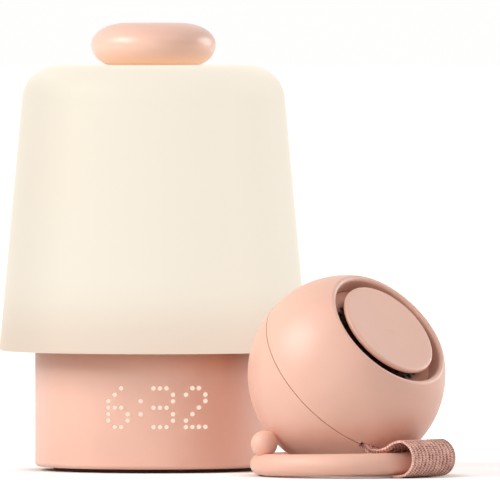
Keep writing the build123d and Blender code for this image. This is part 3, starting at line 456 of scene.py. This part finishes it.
@dataclass(frozen=True)
class WovenBand:
    """Elastic webbing: raised ribs along the band, each of small chevron stitches in mottled yarn."""

    name: str
    high: Colour
    low: Colour
    ribs: int
    stitches: int
    chevron: float = 1.3
    fuzz_per_metre: float = 1500.0
    wear_per_metre: float = 330.0
    rib_tone: float = 0.26
    stitch_tone: float = 0.34
    fuzz_tone: float = 0.9
    wear_tone: float = 0.6
    tone_from: float = 0.34
    tone_to: float = 1.1
    middle_share: float = 0.55
    relief: float = 0.3 * MM
    roughness: float = 0.88
    sheen: float = 0.08
    sheen_roughness: float = 0.5

    def build(self) -> bpy.types.Material:
        """The material."""
        graph = Graph.of_material(self.name)
        along, across, _ = graph.parts(graph.place("UV"))
        rib = (across * (FULL_TURN * self.ribs)).math("COSINE") * 0.5 + 0.5
        side = (across * self.ribs).math("PINGPONG", 0.5)
        stitch = ((along * self.stitches + side * self.chevron) * FULL_TURN).math("SINE") * 0.5 + 0.5
        fuzz = graph.noise(graph.place(), self.fuzz_per_metre, 3.0)
        worn = graph.noise(graph.place(), self.wear_per_metre, 2.0)
        yarn = rib * self.rib_tone + stitch * self.stitch_tone + fuzz * self.fuzz_tone
        tone = (yarn + (worn - 0.5) * self.wear_tone).smooth(self.tone_from, self.tone_to)
        return graph.surface(
            Base_Color=graph.ramp(tone, (0.0, self.low), (0.5, self._middle()), (1.0, self.high)),
            Roughness=self.roughness - rib * 0.12,
            Normal=graph.bump(rib * 0.8 + stitch * 0.5 + fuzz * 0.35, self.relief),
            Sheen_Weight=self.sheen,
            Sheen_Roughness=self.sheen_roughness,
        )

    def _middle(self) -> Colour:
        """Colour about half way between the yarn's light and dark."""
        return tuple(a * self.middle_share + b * (1 - self.middle_share) for a, b in zip(self.high, self.low))


@dataclass(frozen=True)
class Rubber:
    """Soft rubber or foam, with fine pores and a dusty bloom."""

    name: str
    colour: Colour
    roughness: float = 0.75
    pores_per_metre: float = 2400.0
    depth: float = 0.02 * MM
    bloom_per_metre: float = 120.0

    def build(self) -> bpy.types.Material:
        """The material."""
        graph = Graph.of_material(self.name)
        place = graph.place()
        pores = graph.node("ShaderNodeTexVoronoi", None, {"Vector": place, "Scale": self.pores_per_metre})
        bloom = graph.noise(place, self.bloom_per_metre, 4.0)
        pale = tuple(c * 0.7 + 0.3 * (c * 0.6 + 0.12) for c in self.colour)
        return graph.surface(
            Base_Color=graph.ramp(bloom, (0.35, self.colour), (0.75, pale)),
            Roughness=self.roughness + (bloom - 0.5) * 0.2,
            Normal=graph.bump(pores, self.depth),
        )


@dataclass(frozen=True)
class TurnedMetal:
    """Machined or plated metal with fine tool marks."""

    name: str
    colour: Colour
    roughness: float = 0.32
    marks_per_metre: float = 900.0
    marks_stretch: float = 14.0
    marks_depth: float = 0.006 * MM
    stain_per_metre: float = 60.0

    def build(self) -> bpy.types.Material:
        """The material."""
        graph = Graph.of_material(self.name)
        place = graph.place()
        stretched = graph.moved(place, Scale=(1.0, 1.0, self.marks_stretch))
        marks = graph.noise(stretched, self.marks_per_metre, 3.0)
        stain = graph.noise(place, self.stain_per_metre, 3.0)
        dull = tuple(c * 0.72 for c in self.colour)
        return graph.surface(
            Base_Color=graph.ramp(stain, (0.3, dull), (0.65, self.colour)),
            Metallic=1.0,
            Roughness=self.roughness + (marks - 0.5) * 0.25,
            Normal=graph.bump(marks, self.marks_depth),
        )


@dataclass(frozen=True)
class CircuitBoard:
    """Solder mask over copper tracks, with tinned pads."""

    name: str
    mask: Colour
    track: Colour
    tin: Colour = srgb(196, 196, 190)
    cells_per_metre: float = 380.0
    grime_per_metre: float = 90.0
    relief: float = 0.03 * MM

    def build(self) -> bpy.types.Material:
        """The material."""
        graph = Graph.of_material(self.name)
        place = graph.place()
        cells = {"Vector": place, "Scale": self.cells_per_metre, "Randomness": 0.35}
        tracks = graph.node("ShaderNodeTexVoronoi", {"feature": "DISTANCE_TO_EDGE"}, cells)
        pads = graph.node("ShaderNodeTexVoronoi", None, {**cells, "Randomness": 0.1})
        line = tracks.smooth(0.07, 0.04)
        pad = pads.smooth(0.16, 0.12)
        grime = graph.noise(place, self.grime_per_metre, 3.0)
        dirty = tuple(c * 0.8 for c in self.mask)
        masked = graph.mix(line, graph.ramp(grime, (0.3, dirty), (0.7, self.mask)), self.track)
        return graph.surface(
            Base_Color=graph.mix(pad, masked, self.tin),
            Metallic=pad * 0.9,
            Roughness=0.38 - pad * 0.08 + grime * 0.1,
            Normal=graph.bump(line + pad, self.relief),
        )


@dataclass(frozen=True)
class PressedPaper:
    """Speaker cone paper: felted fibres that lie mostly one way."""

    name: str
    colour: Colour
    fibres_per_metre: float = 1500.0
    fibre_stretch: float = 3.0
    relief: float = 0.04 * MM

    def build(self) -> bpy.types.Material:
        """The material."""
        graph = Graph.of_material(self.name)
        place = graph.place()
        stretched = graph.moved(place, Scale=(1.0, self.fibre_stretch, 1.0))
        fibre = graph.noise(stretched, self.fibres_per_metre, 5.0, 0.7)
        pale = tuple(min(1.0, c * 1.7 + 0.02) for c in self.colour)
        return graph.surface(
            Base_Color=graph.ramp(fibre, (0.35, self.colour), (0.8, pale)),
            Roughness=0.8 + fibre * 0.15,
            Normal=graph.bump(fibre, self.relief),
        )


PINK = srgb(243, 195, 176)
LIT_DOT = LitDot("lit_dot", PINK, srgb(251, 222, 203))
OWN_FINISHES = {
    # The recess floor's dark colour is painted shade under the disc.
    "disc_grille": RecessFloor("recess_floor", PINK, srgb(52, 22, 15)),
    # Painted shade: the housing turns a deeper pink just under the lamp's shade.
    "base_housing": SoftTouchPlastic(
        "pink_housing", PINK, deep=srgb(232, 164, 136), painted_light_from=36.0 * MM, painted_light_to=47.0 * MM
    ),
    # Painted light: the dial's underside warms to orange, a painted glow of the shade's light.
    "top_dial": SoftTouchPlastic(
        "pink_dial", srgb(245, 200, 181), 0.33, cloud=0.03,
        deep=srgb(255, 196, 152), painted_light_from=165.0 * MM, painted_light_to=160.0 * MM,
    ),
}


class Slot(Enum):
    """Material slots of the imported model, each with the finish that stands for it."""

    body_plastic = SoftTouchPlastic("pink_soft_touch", PINK, 0.42)
    dial_plastic = SoftTouchPlastic("pink_satin", srgb(245, 200, 181), 0.33, cloud=0.03)
    # The shade's warm light at the rim is painted bounce light.
    shade_cream = FrostedShade(
        "cream_frosted", srgb(102, 97, 88), srgb(100, 91, 79), srgb(232, 224, 209), srgb(222, 203, 187)
    )
    silicone = SoftTouchPlastic(
        "pink_silicone", srgb(244, 197, 178), 0.5, 3600.0, 0.005 * MM, cloud=0.04, subsurface=0.15
    )
    strap_fabric = WovenBand("pink_webbing", srgb(255, 210, 194), srgb(134, 38, 29), 12, 60)
    foot_rubber = Rubber("foot_rubber", srgb(92, 62, 54))
    foam = Rubber("speaker_foam", srgb(46, 44, 44), 0.95, 1100.0, 0.2 * MM)
    dark_plastic = SoftTouchPlastic("dark_moulding", srgb(60, 36, 30), 0.5, cloud=0.12)
    column_white = SoftTouchPlastic("white_moulding", srgb(226, 222, 214), 0.4)
    light_cream = Rubber("light_phosphor", srgb(244, 226, 150), 0.35, 5000.0, 0.01 * MM)
    circuit_board = CircuitBoard("green_board", srgb(22, 84, 52), srgb(40, 122, 76))
    circuit_white = CircuitBoard("white_board", srgb(224, 224, 220), srgb(204, 200, 190))
    chip_black = SoftTouchPlastic("chip_epoxy", srgb(34, 34, 36), 0.55, 2600.0, 0.006 * MM, cloud=0.2)
    magnet_black = TurnedMetal("magnet_steel", srgb(92, 92, 96), 0.45)
    cone_paper = PressedPaper("cone_paper", srgb(40, 36, 36))
    battery_foil = TurnedMetal("battery_foil", srgb(176, 178, 182), 0.28)
    steel = TurnedMetal("plated_steel", srgb(178, 176, 172), 0.3)


class Palette:
    """Materials of the record's slots, each built once, and those of single pieces."""

    def __init__(self) -> None:
        """Build a material for every slot."""
        self.made = {slot.name: slot.value.build() for slot in Slot}

    def dress(self, piece: bpy.types.Object, slot: str) -> None:
        """Give a piece one slot's material on all its faces.

        Args:
            piece: a CAD node's object or a modelled piece.
            slot: the record's material slot.
        """
        if not piece.data.materials:
            piece.data.materials.append(None)
        for index in range(len(piece.data.materials)):
            piece.data.materials[index] = self.made[slot]

    def dress_nodes(self, frame: dict) -> None:
        """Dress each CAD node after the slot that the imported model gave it, or with its own finish.

        Args:
            frame: the loaded frame.
        """
        for name, piece in frame["nodes"].items():
            slot = piece.data.materials[0].name.split(".")[0]
            self.dress(piece, slot)
            LOG.info("dressed %s as %s", name, slot)
        for name, finish in OWN_FINISHES.items():
            frame["nodes"][name].data.materials[0] = finish.build()


# ------------------------------------------------------------------ modelling helpers
def select(*pieces: bpy.types.Object) -> None:
    """Select some pieces and nothing else.

    Args:
        *pieces: the pieces, of which the first becomes the active one.
    """
    bpy.ops.object.select_all(action="DESELECT")
    for piece in pieces:
        piece.select_set(True)
    bpy.context.view_layer.objects.active = pieces[0]


@contextmanager
def edit_mode(piece: bpy.types.Object) -> Iterator[bmesh.types.BMesh]:
    """Edit mode on one piece, for the length of a with block.

    Args:
        piece: the object to edit.

    Yields:
        The edit mesh.
    """
    select(piece)
    bpy.ops.object.mode_set(mode="EDIT")
    yield bmesh.from_edit_mesh(piece.data)
    bpy.ops.object.mode_set(mode="OBJECT")


def named(name: str) -> bpy.types.Object:
    """Name the object that an operator has just added.

    Args:
        name: the piece's name, also given to its mesh.

    Returns:
        The object.
    """
    piece = bpy.context.active_object
    piece.name = name
    piece.data.name = name
    return piece


def settle(piece: bpy.types.Object) -> bpy.types.Object:
    """Apply a piece's own placing to its mesh.

    Args:
        piece: a modelled piece.

    Returns:
        The piece, with its object at the origin.
    """
    select(piece)
    bpy.ops.object.transform_apply(location=True, rotation=True, scale=True)
    return piece


def modified(piece: bpy.types.Object, kind: str, **settings: object) -> bpy.types.Object:
    """Add a modifier and apply it.

    Args:
        piece: the piece to change.
        kind: the modifier's type.
        **settings: its properties.

    Returns:
        The piece.
    """
    modifier = piece.modifiers.new(kind.lower(), kind)
    for key, value in settings.items():
        setattr(modifier, key, value)
    select(piece)
    bpy.ops.object.modifier_apply(modifier=modifier.name)
    return piece


def smooth(piece: bpy.types.Object, degrees: float = 35.0) -> bpy.types.Object:
    """Shade a piece smooth, except at sharp edges.

    Args:
        piece: the piece to shade.
        degrees: the least angle of an edge that stays sharp.

    Returns:
        The piece.
    """
    select(piece)
    bpy.ops.object.shade_smooth_by_angle(angle=math.radians(degrees))
    return piece


def recalculated(piece: bpy.types.Object) -> bpy.types.Object:
    """Merge a piece's doubles and turn its faces outwards.

    Args:
        piece: the piece to clean.

    Returns:
        The piece.
    """
    with edit_mode(piece):
        bpy.ops.mesh.select_all(action="SELECT")
        bpy.ops.mesh.remove_doubles(threshold=MERGE)
        bpy.ops.mesh.normals_make_consistent(inside=False)
    return piece


# ------------------------------------------------------------------ the clock
class Glyph(Enum):
    """Dot rows of a character, from the top, with # for a lit dot."""

    SIX = ("..#.", ".#..", "#...", "###.", "#..#", "#..#", ".##.")
    COLON = (".", ".", "#", ".", "#", ".", ".")
    THREE = ("###.", "...#", "...#", "###.", "...#", "...#", "###.")
    TWO = (".##.", "#..#", "...#", "..#.", ".#..", "#...", "####")


@dataclass
class DotClock:
    """Lit dots that shine through the housing's wall."""

    pitch: float = 2.54 * MM
    centre_x: float = 1.55 * MM
    centre_z: float = 25.8 * MM
    columns: int = 16
    spot_radius: float = 1.32 * MM
    proud: float = 0.03 * MM
    spot_sides: int = 20
    text: tuple[tuple[int, Glyph], ...] = (
        (0, Glyph.SIX), (5, Glyph.COLON), (7, Glyph.THREE), (12, Glyph.TWO),
    )

    def build(self, palette: Palette) -> bpy.types.Object:
        """Model one spot, copy it to each lit dot and lay the copies on the wall.

        Args:
            palette: not used; the spots have a finish of their own.

        Returns:
            The joined piece.
        """
        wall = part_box("base_housing")[1][0] + self.proud
        spot = self._spot()
        copies = [self._copy(spot, x, z) for x, z in self._lit()]
        bpy.data.objects.remove(spot)
        select(*copies)
        bpy.ops.object.join()
        piece = named("clock_digits")
        for vertex in piece.data.vertices:
            vertex.co.y = -math.sqrt(wall ** 2 - vertex.co.x ** 2)
        smooth(piece)
        piece.data.materials.append(LIT_DOT.build())
        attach(piece, "bedside_unit")
        return piece

    def _spot(self) -> bpy.types.Object:
        """One round spot with rings of faces and its own radial UV, facing the front."""
        bpy.ops.mesh.primitive_circle_add(
            vertices=self.spot_sides, radius=self.spot_radius, fill_type="TRIFAN", calc_uvs=True,
            rotation=(math.pi / 2, 0.0, 0.0),
        )
        spot = settle(named("spot"))
        with edit_mode(spot):
            bpy.ops.mesh.select_all(action="SELECT")
            bpy.ops.mesh.subdivide(number_cuts=1)
        return spot

    def _copy(self, spot: bpy.types.Object, x: float, z: float) -> bpy.types.Object:
        """A copy of the spot, with its own mesh, moved to a dot."""
        copy = spot.copy()
        copy.data = spot.data.copy()
        copy.data.transform(Matrix.Translation((x, 0.0, z)))
        bpy.context.collection.objects.link(copy)
        return copy

    def _lit(self) -> Iterator[Point]:
        """Centres of the lit dots, as (x, z)."""
        left = self.centre_x - self.pitch * (self.columns - 1) / 2
        for column, glyph in self.text:
            top = self.centre_z + self.pitch * (len(glyph.value) - 1) / 2
            for down, row in enumerate(glyph.value):
                for across, dot in enumerate(row):
                    if dot == "#":
                        yield left + self.pitch * (column + across), top - self.pitch * down


# ------------------------------------------------------------------ the strap
@dataclass(frozen=True)
class Station:
    """Cross-section of the band on its way round.

    Outwards from the ring, along its tube and up are in millimetres from the point under the hold;
    half is the band's half width there, crumple the depth of its folds, and lean how far the band has
    turned from level to the slope of the slot.
    """

    out: float
    along: float
    up: float
    half: float
    crumple: float = 0.0
    lean: float = 0.0


@dataclass
class WovenStrap:
    """Webbing band that wraps the ring's tube and gathers into the ball's seam.

    Its lengths are in millimetres. From above the tube it goes round the big curve, from one angle through
    a sweep, and comes back under the tube. The folds run along it and drift a little to one side.
    """

    hold_degrees: float = 52.0
    tube_radius: float = 4.3
    half: float = 13.4
    middle: float = -0.6
    slot_slope: Point = (0.26, -0.26)
    thickness: float = 0.9
    big_round: float = 6.7
    big_centre: Point = (3.0, 7.6)
    arc_from: float = 88.0
    arc_sweep: float = 178.0
    arc_steps: int = 8
    ribs: int = 12
    rib_height: float = 0.16
    folds: float = 3.5
    fold_drift: float = 5.0
    look_ahead: float = 0.004
    crease_degrees: float = 60.0
    rows: int = 150
    columns: int = 108

    def __post_init__(self) -> None:
        """Find the point on the floor under the place where the band holds the ring."""
        low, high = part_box("carry_ring")
        middle = (low + high) / 2
        radius = (high.x - low.x) / 2 - self.tube_radius * MM
        turn = math.radians(self.hold_degrees)
        self.outwards = Vector((math.sin(turn), -math.cos(turn), 0.0))
        self.onwards = Vector((math.cos(turn), math.sin(turn), 0.0))
        self.foot = Vector((middle.x, middle.y, 0.0)) + self.outwards * radius

    def build(self, palette: Palette) -> bpy.types.Object:
        """Sweep the band through its stations and give it its thickness.

        Args:
            palette: the finishes.

        Returns:
            The band.
        """
        bpy.ops.mesh.primitive_grid_add(
            x_subdivisions=self.rows, y_subdivisions=self.columns, size=1.0, calc_uvs=True
        )
        piece = settle(named("woven_strap"))
        stations = self._stations()
        for vertex in piece.data.vertices:
            vertex.co = self._point(stations, vertex.co.x + 0.5, vertex.co.y * 2)
        recalculated(piece)
        modified(piece, "SOLIDIFY", thickness=self.thickness * MM, offset=0.0)
        smooth(piece, self.crease_degrees)
        palette.dress(piece, "strap_fabric")
        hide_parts("strap_root", "strap_loop")
        self._place(-13.0, -9.0, 11.0)
        self._place(-6.0, -4.0, 9.0)
        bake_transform(piece)
        return piece

    def _stations(self) -> list[Station]:
        """Stations from the slot over the tube, round it, under it and back into the slot."""
        top = [
            Station(-15.3, -8.2, 12.8, 3.9, 0.5, 1.0),
            Station(-14.0, -8.8, 11.2, 3.8, 0.8, 1.0),
            Station(-11.9, -8.4, 9.5, 3.6, 1.1, 0.7),
            Station(-8.2, -5.4, 9.5, 7.2, 0.9, 0.3),
            Station(-4.0, -1.9, 11.3, 12.0, 0.4),
            Station(-0.5, self.middle, 13.3, self.half, 0.08),
        ]
        across, height = self.big_centre
        arc = []
        for step in range(self.arc_steps + 1):
            angle = math.radians(self.arc_from - self.arc_sweep * step / self.arc_steps)
            arc.append(Station(across + self.big_round * math.cos(angle), self.middle,
                               height + self.big_round * math.sin(angle), self.half))
        under = [
            Station(-0.5, self.middle, 0.8, 13.0, 0.05),
            Station(-4.0, -1.6, 1.7, 10.2, 0.3),
            Station(-7.6, -5.0, 3.6, 6.8, 0.7),
            Station(-10.6, -8.2, 6.8, 4.2, 0.9, 0.5),
            Station(-13.2, -8.9, 9.9, 3.6, 0.8, 1.0),
            Station(-15.0, -8.4, 12.2, 3.8, 0.6, 1.0),
        ]
        return top + arc + under

    def _point(self, stations: list[Station], share: float, side: float) -> Vector:
        """Place of one vertex.

        Args:
            stations: the band's stations.
            share: how far round the band, 0 to 1.
            side: across the band, -1 to 1.

        Returns:
            The point in the frame, in metres.
        """
        here = self._between(stations, share)
        ahead = self._between(stations, min(share + self.look_ahead, 1.0))
        behind = self._between(stations, max(share - self.look_ahead, 0.0))
        run = Vector((ahead.out - behind.out, ahead.up - behind.up)).normalized()
        wave = math.sin(math.pi * self.folds * side + self.fold_drift * share)
        rib = math.cos(math.pi * self.ribs * side) * self.rib_height / 2
        lift = rib * here.half / self.half + here.crumple * wave
        reach = side * here.half
        slope_out, slope_up = (slope * here.lean * reach for slope in self.slot_slope)
        return self._place(here.out + slope_out - run.y * lift, here.along + reach,
                           here.up + slope_up + run.x * lift)

    @staticmethod
    def _between(stations: list[Station], share: float) -> Station:
        """Station at a share of the way, by a smooth curve through its neighbours."""
        last = len(stations) - 1
        spot = min(share * last, last - STATION_END)
        index = int(spot)
        t = spot - index
        four = [stations[min(max(index + k, 0), last)] for k in (-1, 0, 1, 2)]

        def curve(name: str) -> float:
            """One of a station's numbers, on a Catmull-Rom curve."""
            a, b, c, d = (getattr(station, name) for station in four)
            return 0.5 * (2 * b + (c - a) * t + (2 * a - 5 * b + 4 * c - d) * t * t
                          + (3 * b - a - 3 * c + d) * t ** 3)
        return Station(*(curve(name) for name in ("out", "along", "up", "half", "crumple", "lean")))

    def _place(self, out: float, along: float, up: float) -> Vector:
        """Point in the frame, in metres, of millimetres outwards, along and up from under the hold."""
        return self.foot + (self.outwards * out + self.onwards * along + Vector((0.0, 0.0, up))) * MM


# ------------------------------------------------------------------ studio
@dataclass(frozen=True)
class Lamp:
    """Square soft lamp: its way from the object, its distance and side in metres, and its watts."""

    name: str
    direction: tuple[float, float, float]
    distance: float
    size: float
    power: float
    colour: Colour

    def build(self, target: Vector) -> None:
        """Stand the lamp off a target and turn it to that.

        Args:
            target: the point that it looks at.
        """
        direction = Vector(self.direction)
        bpy.ops.object.light_add(type="AREA", location=target + direction.normalized() * self.distance)
        lamp = named(self.name)
        lamp.data.shape = "SQUARE"
        lamp.data.size = self.size
        lamp.data.energy = self.power
        lamp.data.color = self.colour
        lamp.rotation_euler = direction.to_track_quat("Z", "Y").to_euler()


@dataclass
class Studio:
    """Pale floor, soft lamps and a long lens a little above level."""

    aim: Vector = field(default_factory=lambda: Vector((38.1, 0.0, 86.85)) * MM)
    target: Vector = field(default_factory=lambda: Vector((30.0, -30.0, 80.0)) * MM)
    elevation: float = 1.0
    distance: float = 6.0
    view_width: float = 0.1975
    sensor: float = 36.0
    far_clip: float = 100.0
    floor_half: float = 30.0
    floor_colour: Colour = (0.86, 0.85, 0.845)
    floor_glow: float = 0.5
    shadow_inside: float = 4.0 * MM
    shadow_outside: float = 16.0 * MM
    plain_middle: Point = (0.04, 0.0)
    plain_from: float = 0.12
    plain_to: float = 0.6
    air: Colour = (0.285, 0.25, 0.23)
    backdrop: Colour = (1.0, 0.995, 0.99)
    lamps: tuple[Lamp, ...] = (
        Lamp("key_lamp", (-0.757, -0.335, 0.564), 1.3, 0.75, 12.2, (1.0, 0.97, 0.94)),
        Lamp("fill_lamp", (-0.15, -0.95, 0.2), 2.2, 1.6, 7.2, (1.0, 0.985, 0.97)),
        Lamp("top_lamp", (0.45, -0.35, 0.9), 1.6, 1.2, 2.6, (1.0, 0.985, 0.975)),
        Lamp("rim_lamp", (0.85, 0.45, 0.3), 1.3, 0.7, 6.5, (1.0, 0.97, 0.95)),
    )

    def build(self) -> None:
        """Make the floor, the world, the lamps and the camera."""
        self._floor()
        self._world()
        for lamp in self.lamps:
            lamp.build(self.target)
        self._camera()
        bpy.context.scene.view_settings.view_transform = "Standard"

    def _floor(self) -> None:
        """White floor whose glow fades out over the units' footprints, a painted shade that deepens the
        shadows near the object, and that is plain white beyond.
        """
        bpy.ops.mesh.primitive_plane_add(size=2 * self.floor_half, location=(0.0, 0.0, 0.0))
        floor = named("studio_floor")
        graph = Graph.of_material("studio_white")
        across, deep, _ = graph.parts(graph.place())
        lamp, ball = (self._beyond(graph, across, deep, node) for node in ("base_housing", "carry_ring"))
        plain = graph.distance(across, deep, self.plain_middle).smooth(self.plain_from, self.plain_to)
        # Painted shade: the floor's glow is taken away over and just beyond the units' footprints.
        white = self._seen(graph) * (lamp * ball + plain) * self.floor_glow
        diffuse = graph.node("ShaderNodeBsdfDiffuse", None, {"Color": self.floor_colour})
        light = graph.node("ShaderNodeEmission", None, {"Strength": white})
        both = graph.node("ShaderNodeAddShader", None, {0: diffuse, 1: light})
        graph.node("ShaderNodeOutputMaterial", None, {"Surface": both})
        floor.data.materials.append(graph.owner)

    def _beyond(self, graph: Graph, across: Signal, deep: Signal, node: str) -> Signal:
        """Rise from 0 to 1 about the edge of a round CAD node's footprint on the floor, where painted shade
        gives way to the floor's glow.

        Args:
            graph: the floor's graph.
            across: the floor's x.
            deep: the floor's y.
            node: the CAD node.

        Returns:
            The rise.
        """
        low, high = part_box(node)
        reach = (high.x - low.x) / 2
        middle = (low + high) / 2
        away = graph.distance(across, deep, (middle.x, middle.y))
        return away.smooth(reach - self.shadow_inside, reach + self.shadow_outside)

    @staticmethod
    def _seen(graph: Graph) -> Signal:
        """One for what the camera sees, directly or in gloss or glass."""
        path = graph.node("ShaderNodeLightPath")
        rays = path.out("Is Camera Ray") + path.out("Is Glossy Ray") + path.out("Is Transmission Ray")
        return rays.math("MINIMUM", 1.0)

    def _world(self) -> None:
        """White to the camera, and a dim warm light to everything else."""
        graph = Graph(bpy.data.worlds.new("studio_air"))
        bpy.context.scene.world = graph.owner
        colour = graph.mix(self._seen(graph), self.air, self.backdrop)
        sky = graph.node("ShaderNodeBackground", None, {"Color": colour})
        graph.node("ShaderNodeOutputWorld", None, {"Surface": sky})

    def _camera(self) -> None:
        """Camera far away with a long lens."""
        tilt = math.radians(self.elevation)
        back = Vector((0.0, -math.cos(tilt), math.sin(tilt)))
        bpy.ops.object.camera_add(location=self.aim + back * self.distance)
        camera = named("camera")
        camera.rotation_euler = back.to_track_quat("Z", "Y").to_euler()
        camera.data.sensor_width = self.sensor
        camera.data.lens = self.sensor * self.distance / self.view_width
        camera.data.clip_end = self.far_clip
        bpy.context.scene.camera = camera


# ------------------------------------------------------------------ the run
def main() -> None:
    """Build, dress and report every piece."""
    logging.basicConfig(level=logging.INFO, format="%(message)s")
    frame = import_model()
    palette = Palette()
    palette.dress_nodes(frame)
    for part in (DotClock(), WovenStrap()):
        piece = part.build(palette)
        LOG.info("built %s with %d faces", piece.name, len(piece.data.polygons))
    Studio().build()


if __name__ == "__main__":
    main()
